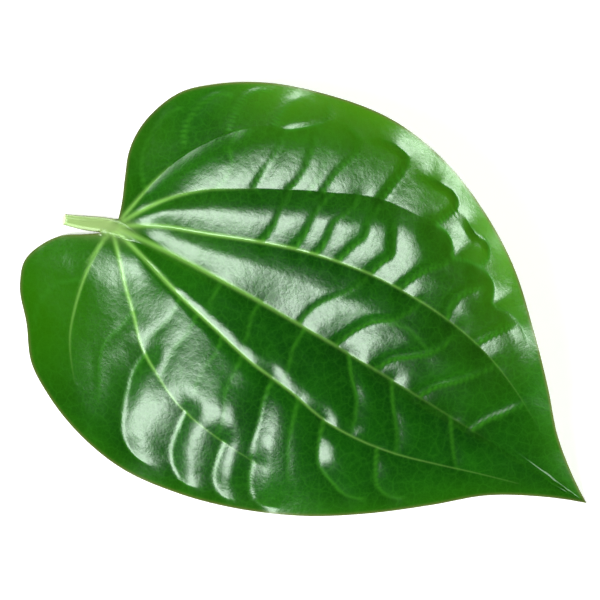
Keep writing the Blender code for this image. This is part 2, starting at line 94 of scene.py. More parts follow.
# Side veins between which the blade swells into cushions
DEEP = [
    [(59.5, 2.5), (61.2, 7), (64, 11.3), (68.5, 15), (71.5, 21.6)],
    [(70.5, 2.2), (72.8, 6.5), (76.3, 9.2), (79.8, 12.3), (82.5, 20.6)],
    [(82.5, 1.8), (84.5, 5.5), (88, 9), (91.5, 13), (94.5, 17.5)],
    [(97.5, 1.4), (99.3, 5.2), (102, 8.6), (104.8, 13)],
    [(58, 21.2), (59, 24.5), (60.3, 27.6), (58.8, 31), (57.2, 34)],
    [(66, 21.6), (67.3, 25.5), (69.3, 28.8), (71.8, 31.6), (72.7, 34.3)],
    [(79, 21), (78.3, 25), (80, 29), (82.5, 31.5)],
    [(88, 19.6), (90.6, 24), (94, 28.5)],
    [(51.7, 38), (52.2, 42), (52.6, 46), (51.6, 49.4), (49, 50.3), (44.5, 50)],
    [(65.5, 38.9), (66.8, 42), (67.6, 45), (66, 47.3), (62, 47.9), (58, 47.5)],
    [(79.2, 35.5), (79.7, 39.3), (78, 41.4), (74.5, 41.8), (71, 43.8)],
    [(66, 38.9), (69.6, 38.3), (71.5, 36.4), (72.7, 34.3), (76, 35.3), (80, 35.5), (83.8, 34.1),
     (85.4, 31.6), (86.2, 29.6), (90, 29.7), (94, 28.8), (97.5, 26.3)],
    [(63, 2.3), (66.5, -2.3), (70, -6), (71.6, -9.5), (73, -13.8)],
    [(75, 2), (78, -2.8), (81, -6.5), (83, -9.5), (84.4, -12.6)],
    [(91.5, 1.4), (94.5, -3.3), (97.3, -6.8), (99, -8.4)],
    [(50.3, -11.8), (51.2, -17.5), (53, -23), (54, -27.5), (55.5, -31)],
    [(65.8, -14.2), (67.3, -19), (70.2, -23.8), (74.5, -25.8), (78.8, -26.9), (83, -25.7)],
    [(80, -13.6), (82, -17.8), (84.6, -21.3), (88, -22.1), (91, -20.8)],
    [(21.2, -22), (20.8, -27), (22, -32), (23.8, -37), (26.5, -41.6), (30.5, -44), (34.5, -44.3)],
    [(36.5, -29), (36.9, -33.5), (38, -38.5), (40.5, -41.8), (44, -43.8), (47.5, -43.3)],
    [(48, -30.6), (48.6, -34.5), (50, -39), (52.8, -41.7), (56.5, -41.4)],
    [(56.3, -31), (57.8, -35.3), (60, -38.3), (63.5, -39), (66.5, -37.8)],
]

# Side veins that crease it sharply
STRONG = [
    [(49.5, 2.5), (50.3, 7), (52.5, 11), (55.5, 15), (58, 21.2)],
    [(32, 15), (32.6, 20), (32, 25), (31.4, 28.8)],
    [(39.5, 17.5), (40, 23), (39.6, 27.5), (40.8, 33.4)],
    [(44.5, 18.8), (45.2, 23), (44.6, 27.5), (46.2, 31.5), (46.5, 36)],
    [(50, 20), (51, 24), (52.6, 28), (51.6, 32), (52.3, 38)],
    [(24, 25), (24, 30), (24.4, 36), (23.6, 40.6)],
    [(31.6, 29), (32.4, 34), (31.6, 39), (30.2, 45)],
    [(38.8, 32.6), (39, 37), (40.2, 41.4), (41, 45), (39.6, 47.4), (36.5, 48.4)],
    [(4.3, 25.5), (2.6, 29), (2.2, 33), (3.2, 37), (5, 39.8), (8, 41.3)],
    [(11.8, 33.6), (11, 37.5), (10.9, 41), (12, 44.3), (15, 46.6)],
    [(20.6, 40.2), (20.4, 43.5), (20.8, 46.5), (22.5, 49.4)],
    [(24, 41), (26.5, 43), (29, 45.2), (30.7, 47.5), (30, 50.5)],
]

# Side veins that barely dent it
FAINT = [
    [(28, 2.3), (28.5, -2), (29, -7.6)],
    [(39, 2.5), (38.8, -2), (40, -6), (40.6, -10)],
    [(51, 2.5), (50.8, -2), (52, -7), (53, -12)],
    [(21.5, -5.8), (21.9, -11), (20.5, -16), (19, -20)],
    [(27, -7), (27.4, -12), (26.5, -17), (27.5, -25)],
    [(35, -9), (35.6, -14), (35, -19), (36, -24)],
    [(41.5, -10.3), (41.8, -16), (42.4, -20.5), (44.5, -24.7), (46, -30.5)],
    [(58, -12.6), (59.5, -18), (61.5, -23.5), (64, -28), (66, -31)],
    [(13.4, -14.6), (12.6, -20), (11.4, -24), (12.3, -28), (14.5, -32), (17, -37)],
    [(-0.6, -14.5), (-4.5, -17), (-6.6, -20.5), (-7, -24.5), (-5, -29)],
    [(1.8, 12), (-2, 16), (-3.8, 22), (-3.7, 28), (-1, 33)],
    [(35.6, 31), (35.9, 36), (34.8, 41)],
    [(64, 11.8), (68, 13.6), (72, 14.4), (76, 13.4), (79.5, 12)],
    [(16, 20.5), (16.5, 27), (14, 31), (14, 35)],
]

# Spot heights of the cells' crowns in the laid leaf, as (x, y, height): low at the tip and at the
# two lobes behind the stalk, arched between them, its left half risen and its right lobe lying flat
SPOTS = [
    (-11.6, -3.95, 4.2), (-0.6, 0.35, 3.0), (9, 1.3, 4.2), (20, 2.1, 6.6), (42, 2.5, 10.0), (62, 2.4, 12.2),
    (75, 2.1, 12.9), (85, 1.8, 12.6), (108, 0.9, 8.6), (118, 0.5, 5.2), (130, 0, 0.9),
    (7, 10, 6.0), (30, 14.2, 10.7), (50, 20, 14.2), (70, 21.6, 16.4), (90, 19, 14.9), (110, 10, 9.4),
    (20, 22.6, 10.6), (40, 33, 15.6), (60, 38.7, 18.2), (78, 36, 18.0),
    (1, 14, 3.4), (7.5, 27, 7.2), (18, 38.5, 11.4),
    (-6.5, 20, 1.4), (-5, 29, 2.2), (1, 39, 4.8), (20, 51, 12.2), (42, 55, 17.2), (62, 52, 20.0),
    (80, 43, 20.0), (98, 28, 16.6), (108, 18.7, 12.8), (118, 8, 7.4),
    (8, -2, 5.0), (20, -5.4, 7.6), (30, -7.8, 9.2), (44, -10.9, 11.2), (66, -14, 13.2), (84, -12.6, 13.0),
    (104, -6.7, 9.3),
    (20, -10, 6.9), (20, -15.5, 5.9), (30, -13, 8.8), (30, -18.5, 8.2), (44, -18, 10.9), (44, -23.5, 10.7),
    (58, -18, 12.7), (58, -25, 12.0), (74, -24, 12.7),
    (8, -9.4, 3.7), (14, -15.2, 4.4), (20, -21.2, 5.3), (26, -24.7, 6.3), (34, -28.4, 7.7), (44, -30.3, 9.2),
    (56, -31, 10.3), (64, -31, 10.8),
    (-14, -17, 3.0), (-8, -22, 2.2), (-2, -20, 2.0), (-7, -30, 3.0), (0, -37, 3.0), (4, -28, 2.6),
    (12, -34, 3.2), (10, -42, 3.2), (17, -46, 3.5), (20, -34, 4.3), (28, -37, 4.8), (30, -47, 3.9),
    (38, -40, 5.5), (44, -47, 5.0), (58, -43, 6.9), (72, -37, 8.8), (86, -28, 9.9), (98, -18.5, 9.2),
    (108, -10, 7.5), (118, -4.5, 5.0),
]

# The solid's thickness in millimetres. The thin blade that is shown lies on the solid's own underside
SOLID_THICKNESS = 0.78

# How sharp a crease is: 1 for straight sides, more for sides that steepen toward it
DIP_POWER = 1.6

# Main ribs, the midrib first and then from the left margin to the right: how much of the relief each takes,
# how far it is felt to its left and right, where it dies out along a rib, and how narrow it starts
RIB_SHARES = (0.8, 0.5, 0.85, 1.0, 0.45, 0.2, 0.1)
REACH_LEFT = (12, 8, 12, 13, 3.5, 6, 6)
REACH_RIGHT = (6, 4, 8, 9, 4, 5, 6)
RIB_FADE = ((0.75, 1.0), (1.0, 0.0))
RIB_NARROW = 0.15
RIB_WIDE_BY = 0.45

# Side veins: how much of the relief each kind takes, how far it is felt toward the tip and toward the
# stalk, and where it fades along a vein
DEEP_DIP = (0.9, 6.5, 2.0)
DEEP_DIP_RIGHT = (1.0, 4.6, 7.0)
STRONG_DIP = (0.4, 4.5, 1.4)
FAINT_DIP = (0.14, 3.0, 1.6)
VEIN_FADE = ((0.8, 1.0), (1.0, 0.4))

# How much of its lift the left margin has along the leaf, and how far in from the margin it is felt
RIM_LIFT_ALONG = ((40, 85), (1 / 3, 5 / 3))
RIM_REACH = 6.0

# All relief dies out toward the joint. Below, ribs stand out by their stoutness, as (at the tip,
# more at the joint)
JOINT_REACH = 8.0
RIB_STOUTNESS = (1.1, 0.7, 0.8, 0.85, 0.85, 0.8, 0.7)
KEEL_HALF_WIDTH = (0.55, 0.75)
KEEL_DEPTH = (0.25, 0.75)
KEEL_TAPER = 1.3

# The margin's slack waves, as (height, waves round the leaf, start), and how far in they reach
EDGE_WAVES = ((0.45, 7, 0.6), (0.3, 12, 2.0))
WAVE_REACH = 5.0

# The leaf is let down until its lowest places lie flat on the table, eased in over a small height
LET_DOWN = 2.15
TABLE_EASE = 0.35

# How far the bending sheet may miss its spot heights
SHEET_SLACK = 3.0

# Coloured stripes, in half widths: ribs as (at the tip, more at the joint), side veins, rim and stalk
RIB_STRIPE = (0.16, 0.5)
RIB_STRIPE_TAPER = 1.5
RIB_PALENESS = 1.3
RIB_PALE_TO = (0.8, 0.4, 0.45, 0.95, 1.1, 1.0, 0.9)
VEIN_STRIPE = 0.42
VEIN_PALE_LOSS = 0.6
FAINT_PALENESS = 0.8
RIM_STRIPE = 0.45
STALK_STRIPE = 2.4
STALK_PALE_ALONG = ((10, 19), (1, 0))

# Paler tissue: round patches on the lobes as (x, y, radius, strength), then a band along the margin, wider
# on the left half, where the extra width is painted sheen, and the painted sheen of the left margin with
# its stretch along the leaf
LOBE_PATCHES = ((-9, -22, 26, 1.0), (-8, 22, 13, 0.7))
PALE_BAND = 0.6
PALE_BAND_REACH = (6.0, 3.0)
LEFT_MARGIN_SHEEN = 0.7
LEFT_MARGIN_SHEEN_REACH = 9.0
LEFT_MARGIN_SHEEN_ALONG = ((4, 20, 84, 104), (0, 1, 1, 0))

# Spacing of the points along curves: ribs, veins and stalk, the margin, the lines that columns follow, and
# the outline whose middle is the frame's origin. Each stretch between given points starts as fine steps
LINE_DETAIL = 0.6
MARGIN_DETAIL = 1.0
GUIDE_DETAIL = 0.25
OUTLINE_DETAIL = 2.0
FINE_STEPS = 20

# How far from ribs, veins, margin and stalk a place is still measured, and what counts as far away
RIB_ROOM = 40
VEIN_ROOM = 18
MARGIN_ROOM = 60
STALK_ROOM = 40
FAR = 1e9

# Mesh: columns in each strip between margin, ribs and margin, crowded toward the ribs, and rows from the
# joint to the tip. Near both ends only every so many columns are kept, as (up to this row, every)
STRIPS = (24, 32, 32, 40, 32, 40, 32, 16)
COLUMNS = sum(STRIPS)
CROWDING = 0.45
ROWS = 170
THINNED_AT_JOINT = ((1, 8), (4, 4), (9, 2))
THINNED_AT_TIP = ((2, 8), (7, 4), (16, 2))

# Stalk: rings along it, and columns of room that keep its upper and lower halves apart at its sides. It
# turns square to its line over a third of its length, has fine ridges as (height, number, start), and
# its cut leans by a share of the height. The cut end is closed by rings as (width left, how far out)
STALK_RINGS = 14
SEAM_ROOM = 4
LOOK_AHEAD = 0.6
SQUARE_BY = 3
STALK_RIDGES = (0.035, 9, 0.4)
CUT_LEAN = 0.35
CUT_LEAN_POWER = 6
CUT_RINGS = ((0.93, 0.12), (0.5, 0.2), (0.0, 0.15))

# Edges of the mesh that turn more than this are left sharp
SHARP_TURN = math.radians(62)

# Where the view is centred, in the leaf's plan, and the height that its width is measured at
VIEW_MIDDLE = (46.6, 7.6)
VIEW_LEVEL = 6.0

# The pale walls dim between two heights, 0 level and 1 straight up, to this share of their light overhead
WALL_TOP = (0.2, 0.45)
OVERHEAD_GLOW = 0.005

# Distances of the two softboxes from the leaf, and the floor's half width and drop, in metres
SOFTBOX_DISTANCE = 0.62
CORE_DISTANCE = 0.6
FLOOR_REACH = 3.0
FLOOR_DROP = 0.0001


def linear(colour):
    """An sRGB hex colour as the linear numbers that shaders use."""
    parts = [int(colour[k:k + 2], 16) / 255 for k in (1, 3, 5)]
    return [part / 12.92 if part <= 0.04045 else ((part + 0.055) / 1.055) ** 2.4 for part in parts]


def steps_along(line):
    """Length run along a line at each of its points."""
    return np.concatenate([[0], np.cumsum(np.linalg.norm(np.diff(line, axis=0), axis=1))])


def smooth_curve(points, step):
    """Points about a step apart along a smooth curve through the given ones."""
    knots = np.array(points, float)
    chord = np.linalg.norm(np.diff(knots, axis=0), axis=1)
    secant = np.diff(knots, axis=0) / chord[:, None]
    slope = np.empty_like(knots)
    near = chord[:-1, None]
    far = chord[1:, None]
    slope[1:-1] = (secant[:-1] * far + secant[1:] * near) / (near + far)
    slope[0] = 2 * secant[0] - slope[1]
    slope[-1] = 2 * secant[-1] - slope[-2]
    fine = []
    for k, run in enumerate(chord):
        t = np.linspace(0, 1, FINE_STEPS, endpoint=False)[:, None]
        start = knots[k] * (2 * t ** 3 - 3 * t ** 2 + 1) + slope[k] * run * (t ** 3 - 2 * t ** 2 + t)
        end = knots[k + 1] * (3 * t ** 2 - 2 * t ** 3) + slope[k + 1] * run * (t ** 3 - t ** 2)
        fine.append(start + end)
    fine.append(knots[-1:])
    fine = np.vstack(fine)
    run = steps_along(fine)
    stops = np.linspace(0, run[-1], max(2, round(run[-1] / step) + 1))
    return np.stack([np.interp(stops, run, fine[:, 0]), np.interp(stops, run, fine[:, 1])], axis=1)


def nearest(places, line):
    """Distance from each place to a line, how far along it the nearest point is, and its side: 1 is left."""
    gap = np.full(len(places), FAR)
    along = np.zeros(len(places))
    side = np.zeros(len(places))
    last = len(line) - 1
    for k in range(last):
        step = line[k + 1] - line[k]
        share = np.clip(((places - line[k]) @ step) / (step @ step), 0, 1)
        away = places - line[k] - share[:, None] * step
        here = np.hypot(away[:, 0], away[:, 1])
        closer = here < gap
        gap[closer] = here[closer]
        along[closer] = (k + share[closer]) / last
        leaning = (step[0] * away[:, 1] - step[1] * away[:, 0]) / np.maximum(here * np.hypot(*step), 1e-9)
        side[closer] = leaning[closer]
    return gap, along, side


def close_to(places, line, room):
    """The same as nearest for the places within some room of the line; the others count as far away."""
    close = np.all((places > line.min(axis=0) - room) & (places < line.max(axis=0) + room), axis=1)
    gap = np.full(len(places), FAR)
    along = np.zeros(len(places))
    side = np.zeros(len(places))
    gap[close], along[close], side[close] = nearest(places[close], line)
    return gap, along, side


def dip(gap, reach):
    """Share of a crease's depth at a distance from it: sharp at the crease, gone at its reach."""
    return np.clip(1 - gap / reach, 0, 1) ** DIP_POWER


def stripe(gap, half):
    """Share of a soft-edged stripe's colour at a distance from its middle."""
    return np.exp(-(gap / half) ** 2)


def bending_sheet(spots):
    """A thin bending sheet laid through the spot heights."""
    known = np.array(spots, float)

    def pull(first, second):
        square = ((first[:, None, :] - second[None, :, :]) ** 2).sum(axis=2)
        return square * np.log(square + 1e-9)

    places = known[:, :2]
    flat = np.hstack([np.ones((len(places), 1)), places])
    stiff = pull(places, places) + SHEET_SLACK * np.eye(len(places))
    matrix = np.block([[stiff, flat], [flat.T, np.zeros((3, 3))]])
    weight = np.linalg.solve(matrix, np.concatenate([known[:, 2], np.zeros(3)]))

    def height(wanted):
        plane = np.hstack([np.ones((len(wanted), 1)), wanted])
        return pull(wanted, places) @ weight[:-3] + plane @ weight[-3:]

    return height


LEFT_LINE = smooth_curve(MARGIN_LEFT, MARGIN_DETAIL)
RIGHT_LINE = smooth_curve(MARGIN_RIGHT, MARGIN_DETAIL)
MARGIN_LINE = np.vstack([LEFT_LINE, RIGHT_LINE[-2::-1]])
RIBS = [MIDRIB] + [rib for rib, on in LEFT_RIBS + RIGHT_RIBS]
RIB_LINES = [smooth_curve(rib, LINE_DETAIL) for rib in RIBS]
DEEP_LINES = [smooth_curve(vein, LINE_DETAIL) for vein in DEEP]
STRONG_LINES = [smooth_curve(vein, LINE_DETAIL) for vein in STRONG]
FAINT_LINES = [smooth_curve(vein, LINE_DETAIL) for vein in FAINT]
STALK_CURVE = smooth_curve(STALK_LINE, LINE_DETAIL)
STALK_STEPS = steps_along(STALK_CURVE)
SHEET = bending_sheet(SPOTS)


def plan_centre():
    """Middle of the plan's box, which is the frame's origin."""
    both = np.vstack([smooth_curve(side, OUTLINE_DETAIL) for side in (MARGIN_LEFT, MARGIN_RIGHT)])
    return (both.min(axis=0) + both.max(axis=0)) / 2


CENTRE = plan_centre()


def in_frame(place, height):
    """A place of the leaf's plan and a height, in millimetres, as a point of the frame."""
    return Vector(((place[0] - CENTRE[0]) * MM, (place[1] - CENTRE[1]) * MM, height * MM))


def off_table(height):
    """Ease a height that would dip under the table onto it."""
    eased = (height + TABLE_EASE) ** 2 / (4 * TABLE_EASE)
    return np.where(height > TABLE_EASE, height, np.where(height < -TABLE_EASE, 0, eased))


class Relief:
    """How near a set of places is to every line, and the heights and finishes that follow from it."""

    def __init__(self, places, form):
        self.places = places
        self.thickness = form.blade_thickness / MM
        self.rib_relief = form.rib_relief / MM
        self.vein_relief = form.vein_relief / MM
        self.rim_lift = form.rim_lift / MM
        self.leftward = places[:, 1] > 0
        self.ribs = [close_to(places, line, RIB_ROOM) for line in RIB_LINES]
        self.deep = [close_to(places, line, VEIN_ROOM) for line in DEEP_LINES]
        self.strong = [close_to(places, line, VEIN_ROOM) for line in STRONG_LINES]
        self.faint = [close_to(places, line, VEIN_ROOM) for line in FAINT_LINES]
        self.rim = close_to(places, MARGIN_LINE, MARGIN_ROOM)
        self.stalk = close_to(places, STALK_CURVE, STALK_ROOM)

    def drawn_in_by_ribs(self):
        """Share of its full relief that the blade keeps beside the main ribs: 1 on a cell's crown."""
        kept = np.ones(len(self.places))
        for (gap, along, side), share, left, right in zip(self.ribs, RIB_SHARES, REACH_LEFT, REACH_RIGHT):
            reach = np.interp(side, (-1, 1), (right, left))
            grown = np.interp(along, (0, RIB_WIDE_BY), (RIB_NARROW, 1))
            kept *= 1 - share * grown * dip(gap, reach * grown) * np.interp(along, *RIB_FADE)
        return kept

    def drawn_in_by_veins(self):
        """Share of its full relief that the blade keeps beside the side veins."""
        kept = np.ones(len(self.places))
        for veins, lines, left, right in ((self.deep, DEEP_LINES, DEEP_DIP, DEEP_DIP_RIGHT),
                                          (self.strong, STRONG_LINES, STRONG_DIP, STRONG_DIP),
                                          (self.faint, FAINT_LINES, FAINT_DIP, FAINT_DIP)):
            for (gap, along, side), line in zip(veins, lines):
                rightward = line[-1, 1] < line[0, 1]
                share, tipward, stalkward = right if rightward else left
                reach = np.interp(side if rightward else -side, (-1, 1), (stalkward, tipward))
                kept *= 1 - share * dip(gap, reach) * np.interp(along, *VEIN_FADE)
        return kept

    def pucker(self, wide, small):
        """How deep the blade is drawn in along ribs and veins, and how far its rim is lifted."""
        joint = 1 - dip(self.stalk[0], JOINT_REACH)
        lift = np.where(self.leftward, np.interp(self.places[:, 0], *RIM_LIFT_ALONG), 1)
        rim = self.rim_lift * lift * dip(self.rim[0], RIM_REACH)
        return joint * (rim - self.rib_relief * (1 - wide) - self.vein_relief * (1 - small))

    def edge_wave(self):
        """The margin's slack, gentle wave, dying out a few millimetres inside."""
        gap, along, side = self.rim
        swing = sum(high * np.sin(2 * math.pi * waves * along + start) for high, waves, start in EDGE_WAVES)
        return swing * np.exp(-gap / WAVE_REACH)

    def stalk_bulge(self):
        """How far the stalk and its run into the midrib stand above and below the blade."""
        gap, along, side = self.stalk
        run = along * STALK_STEPS[-1]
        half = np.interp(run, STALK_RUN, STALK_HALF_WIDTH)
        round_off = np.sqrt(np.clip(1 - (gap / half) ** 2, 0, 1))
        above = np.interp(run, STALK_RUN, STALK_TOP) * round_off
        below = np.interp(run, STALK_RUN, STALK_BOTTOM) * round_off
        return above, below

    def keel(self):
        """Ribs standing out of the underside, thick at the joint and fading outward."""
        deepest = np.zeros(len(self.places))
        for (gap, along, side), stout in zip(self.ribs, RIB_STOUTNESS):
            half = KEEL_HALF_WIDTH[0] + KEEL_HALF_WIDTH[1] * stout * (1 - along)
            depth = stout * (KEEL_DEPTH[0] + KEEL_DEPTH[1] * (1 - along) ** KEEL_TAPER)
            deepest = np.maximum(deepest, depth * stripe(gap, half))
        return deepest

    def heights(self, wide, small):
        """Upper and lower face of the thin blade, on the solid's own underside."""
        above, below = self.stalk_bulge()
        sheet = SHEET(self.places) + self.pucker(wide, small) + self.edge_wave()
        sheet -= SOLID_THICKNESS / 2 + LET_DOWN
        lower = off_table(sheet - np.maximum(self.keel(), below))
        upper = off_table(sheet) + self.thickness + above
        return upper, lower

    def rib_colour(self):
        """Share of the ribs' colour."""
        rib = np.zeros(len(self.places))
        for (gap, along, side), stout, pale_to in zip(self.ribs, RIB_STOUTNESS, RIB_PALE_TO):
            half = RIB_STRIPE[0] + RIB_STRIPE[1] * stout * (1 - along) ** RIB_STRIPE_TAPER
            rib = np.maximum(rib, np.clip(RIB_PALENESS * (1 - along / pale_to), 0, 1) * stripe(gap, half))
        return rib

    def vein_colour(self):
        """Share of the side veins' colour."""
        vein = np.zeros(len(self.places))
        for veins, share in ((self.deep + self.strong, 1.0), (self.faint, FAINT_PALENESS)):
            for gap, along, side in veins:
                vein = np.maximum(vein, share * (1 - VEIN_PALE_LOSS * along) * stripe(gap, VEIN_STRIPE))
        return vein

    def pale_tissue_and_sheen(self):
        """Share of paler tissue, on the lobes and along the margin, the band's wider reach on the left half
        being painted sheen.
        """
        reach = np.where(self.leftward, *PALE_BAND_REACH)
        pale = PALE_BAND * np.exp(-self.rim[0] / reach)
        for x, y, radius, strength in LOBE_PATCHES:
            away = np.hypot(self.places[:, 0] - x, self.places[:, 1] - y)
            pale = np.maximum(pale, strength * stripe(away, radius))
        return pale

    def left_margin_sheen(self):
        """Share of the painted sheen along the left margin."""
        edge = np.where(self.leftward, LEFT_MARGIN_SHEEN * np.exp(-self.rim[0] / LEFT_MARGIN_SHEEN_REACH), 0)
        return edge * np.interp(self.places[:, 0], *LEFT_MARGIN_SHEEN_ALONG)

    def finishes(self, wide, small):
        """Shares that the materials read, at each place."""
        gap, along, side = self.stalk
        stalk = stripe(gap, STALK_STRIPE) * np.interp(along * STALK_STEPS[-1], *STALK_PALE_ALONG)
        # The crease share is painted shade: the upper face turns deep green where ribs and veins draw the
        # blade in
        return {"rib": self.rib_colour(), "vein": self.vein_colour(), "rim": stripe(self.rim[0], RIM_STRIPE),
                "pale": self.pale_tissue_and_sheen(), "stalk": stalk, "crease_shade": 1 - wide * small,
                # The edge share is painted sheen along the left margin
                "edge": self.left_margin_sheen()}


def across_stalk(column):
    """Place on the slanted section where the stalk enters the blade, for a column of the mesh."""
    left = np.array(MARGIN_LEFT[0])
    right = np.array(MARGIN_RIGHT[0])
    return (left + right) / 2 + (left - right) / 2 * math.cos(math.pi * column / COLUMNS)


def guide_lines():
    """Lines from margin to margin that columns of the mesh follow to the tip, and the columns' numbers."""
    lines = [MARGIN_LEFT[1:]]
    lines += [rib[1:] + on + [TIP] for rib, on in LEFT_RIBS]
    lines += [MIDRIB[1:-1] + [TIP]]
    lines += [rib[1:] + on + [TIP] for rib, on in RIGHT_RIBS]
    lines += [MARGIN_RIGHT[1:]]
    firsts = np.concatenate([[0], np.cumsum(STRIPS)])
    guides = []
    for column, line in zip(firsts, lines):
        fine = smooth_curve([tuple(across_stalk(column))] + line, GUIDE_DETAIL)
        stops = np.linspace(0, len(fine) - 1, ROWS + 1)
        index = np.arange(len(fine))
        guides.append(np.stack([np.interp(stops, index, fine[:, axis]) for axis in (0, 1)], axis=1))
    return firsts, guides


def plan_lattice():
    """Places of all rows and columns in the plan, every rib lying on a column of its own."""
    firsts, guides = guide_lines()
    plan = np.zeros((ROWS + 1, COLUMNS + 1, 2))
    for first, count, here, there in zip(firsts, STRIPS, guides[:-1], guides[1:]):
        for k in range(count + 1):
            share = k / count
            share -= CROWDING * math.sin(2 * math.pi * share) / (2 * math.pi)
            plan[:, first + k] = here * (1 - share) + there * share
    for column in range(COLUMNS + 1):
        plan[0, column] = across_stalk(column)
    plan[ROWS] = TIP
    return plan


def kept_every(row):
    """How many columns apart the mesh is in a row: wider where the columns draw together."""
    for reach, every in THINNED_AT_JOINT:
        if row <= reach:
            return every
    for reach, every in THINNED_AT_TIP:
        if ROWS - row <= reach:
            return every
    return 1


def blade_sheet(body, row_of, column_of):
    """A grid of rows and columns, thinned at the joint and gathered into one point at the tip."""
    bmesh.ops.create_grid(body, x_segments=COLUMNS, y_segments=ROWS, size=1.0)
    spots = {}
    for vert in body.verts:
        row = round((vert.co.y + 1) / 2 * ROWS)
        column = round((vert.co.x + 1) / 2 * COLUMNS)
        vert[row_of] = row
        vert[column_of] = column
        spots[row, column] = vert
    gathered = {}
    for (row, column), vert in spots.items():
        every = kept_every(row)
        if row == ROWS and column:
            gathered[vert] = spots[ROWS, 0]
        elif row < ROWS and column % every:
            gathered[vert] = spots[row, column - column % every]
    bmesh.ops.weld_verts(body, targetmap=gathered)


def next_ring(body, ring):
    """Extrude a ring of vertices and return the new ring in the same order."""
    edges = [body.edges.get(pair) for pair in zip(ring, ring[1:] + ring[:1])]
    made = bmesh.ops.extrude_edge_only(body, edges=edges)["geom"]
    fresh = {item for item in made if isinstance(item, bmesh.types.BMVert)}
    onward = []
    for vert in ring:
        reached = [edge.other_vert(vert) for edge in vert.link_edges]
        onward.append(next(other for other in reached if other in fresh))
    return onward


class StalkSections:
    """Sections across the stalk, from the blade, at share 0, out to the cut end, at share 1."""

    def __init__(self, thickness):
        left = np.array(MARGIN_LEFT[0])
        start = (left + np.array(MARGIN_RIGHT[0])) / 2
        gap, along, side = nearest(start[None, :], STALK_CURVE)
        self.thickness = thickness
        self.slant = (left - start) / np.linalg.norm(left - start)
        self.run_in = float(along[0]) * STALK_STEPS[-1]
        self.levels = SHEET(np.array([STALK_LINE[0], tuple(start)])) - SOLID_THICKNESS / 2 - LET_DOWN

    def point_at(self, run):
        """The point of the stalk's line at a length from its cut end."""
        return np.array([np.interp(run, STALK_STEPS, STALK_CURVE[:, axis]) for axis in (0, 1)])

    def at(self, share):
        """Move to a section: its centre, its directions and its size."""
        self.share = share
        run = self.run_in * (1 - share)
        self.centre = self.point_at(run)
        ahead = self.point_at(run + LOOK_AHEAD) - self.centre
        self.ahead = ahead / np.linalg.norm(ahead)
        square = np.array([-self.ahead[1], self.ahead[0]])
        turn = min(share * SQUARE_BY, 1.0)
        turn = turn * turn * (3 - 2 * turn)
        across = self.slant * (1 - turn) + square * turn
        self.across = across / np.linalg.norm(across)
        self.half = np.interp(run, STALK_RUN, STALK_HALF_WIDTH) / abs(self.across @ square)
        self.rise = np.interp(run, STALK_RUN, STALK_TOP)
        self.drop = np.interp(run, STALK_RUN, STALK_BOTTOM)
        self.level = np.interp(run, (0, self.run_in), self.levels)

    def place(self, turn, left_over, outward):
        """A point round the section, by its share of a half turn, which is negative below the middle."""
        angle = turn * math.pi
        high, number, start = STALK_RIDGES
        size = (1 + high * math.cos(number * angle + start) * min(self.share * 2, 1)) * left_over
        lift = math.sin(angle) * (self.rise if turn > 0 else self.drop) * size
        slab = self.thickness * (1 - self.share) if turn > 0 else 0
        spot = self.centre + self.across * math.cos(angle) * self.half * size - self.ahead * outward
        spot = spot + self.ahead * lift * CUT_LEAN * self.share ** CUT_LEAN_POWER
        return in_frame(spot, float(off_table(self.level + lift + slab)))


def stalk_rings(body, ring, turns, thickness, layers):
    """Draw the ring out along the stalk, then close the slanting cut end."""
    sections = StalkSections(thickness)
    rings = [(k / STALK_RINGS, 1.0, 0.0, 0.0) for k in range(1, STALK_RINGS + 1)]
    rings += [(1.0, left_over, outward, 1.0) for left_over, outward in CUT_RINGS]
    for share, left_over, outward, cut in rings:
        sections.at(share)
        ring = next_ring(body, ring)
        for vert, turn in zip(ring, turns):
            vert.co = sections.place(turn, left_over, outward)
            vert[layers["stalk"]] = 1.0
            vert[layers["cut"]] = cut
    bmesh.ops.pointmerge(body, verts=ring, merge_co=ring[0].co)


def lay_blade(body, row_of, column_of, under, layers, form):
    """Bring both faces of the blade to their places and heights, and store what the materials read."""
    verts = list(body.verts)
    rows = np.array([vert[row_of] for vert in verts])
    columns = np.array([vert[column_of] for vert in verts])
    above = np.array([vert[under] for vert in verts]) < 0.5
    places = plan_lattice()[rows, columns]
    relief = Relief(places[above], form)
    wide = relief.drawn_in_by_ribs()
    small = relief.drawn_in_by_veins()
    upper_height, lower_height = relief.heights(wide, small)
    shares = relief.finishes(wide, small)
    index_of = {spot: k for k, spot in enumerate(zip(rows[above], columns[above]))}
    for vert, row, column, is_upper, place in zip(verts, rows, columns, above, places):
        k = index_of[row, column]
        vert.co = in_frame(place, upper_height[k] if is_upper else lower_height[k])
        for name, share in shares.items():
            vert[layers[name]] = share[k]


def open_mouth(body, row_of, column_of, under):
    """Open the blade for the stalk, and give the ring round the mouth with each vertex's turn round it."""
    mouth = [face for face in body.faces if all(vert[row_of] == 0 for vert in face.verts)]
    bmesh.ops.delete(body, geom=mouth, context="FACES")
    first = sorted((vert for vert in body.verts if vert[row_of] == 0), key=lambda vert: vert[column_of])
    top = [vert for vert in first if vert[under] < 0.5]
    bottom = [vert for vert in first if vert[under] > 0.5]
    turns = [(vert[column_of] + SEAM_ROOM) / (COLUMNS + 2 * SEAM_ROOM) for vert in top]
    return top + bottom[::-1], turns + [-turn for turn in turns[::-1]]


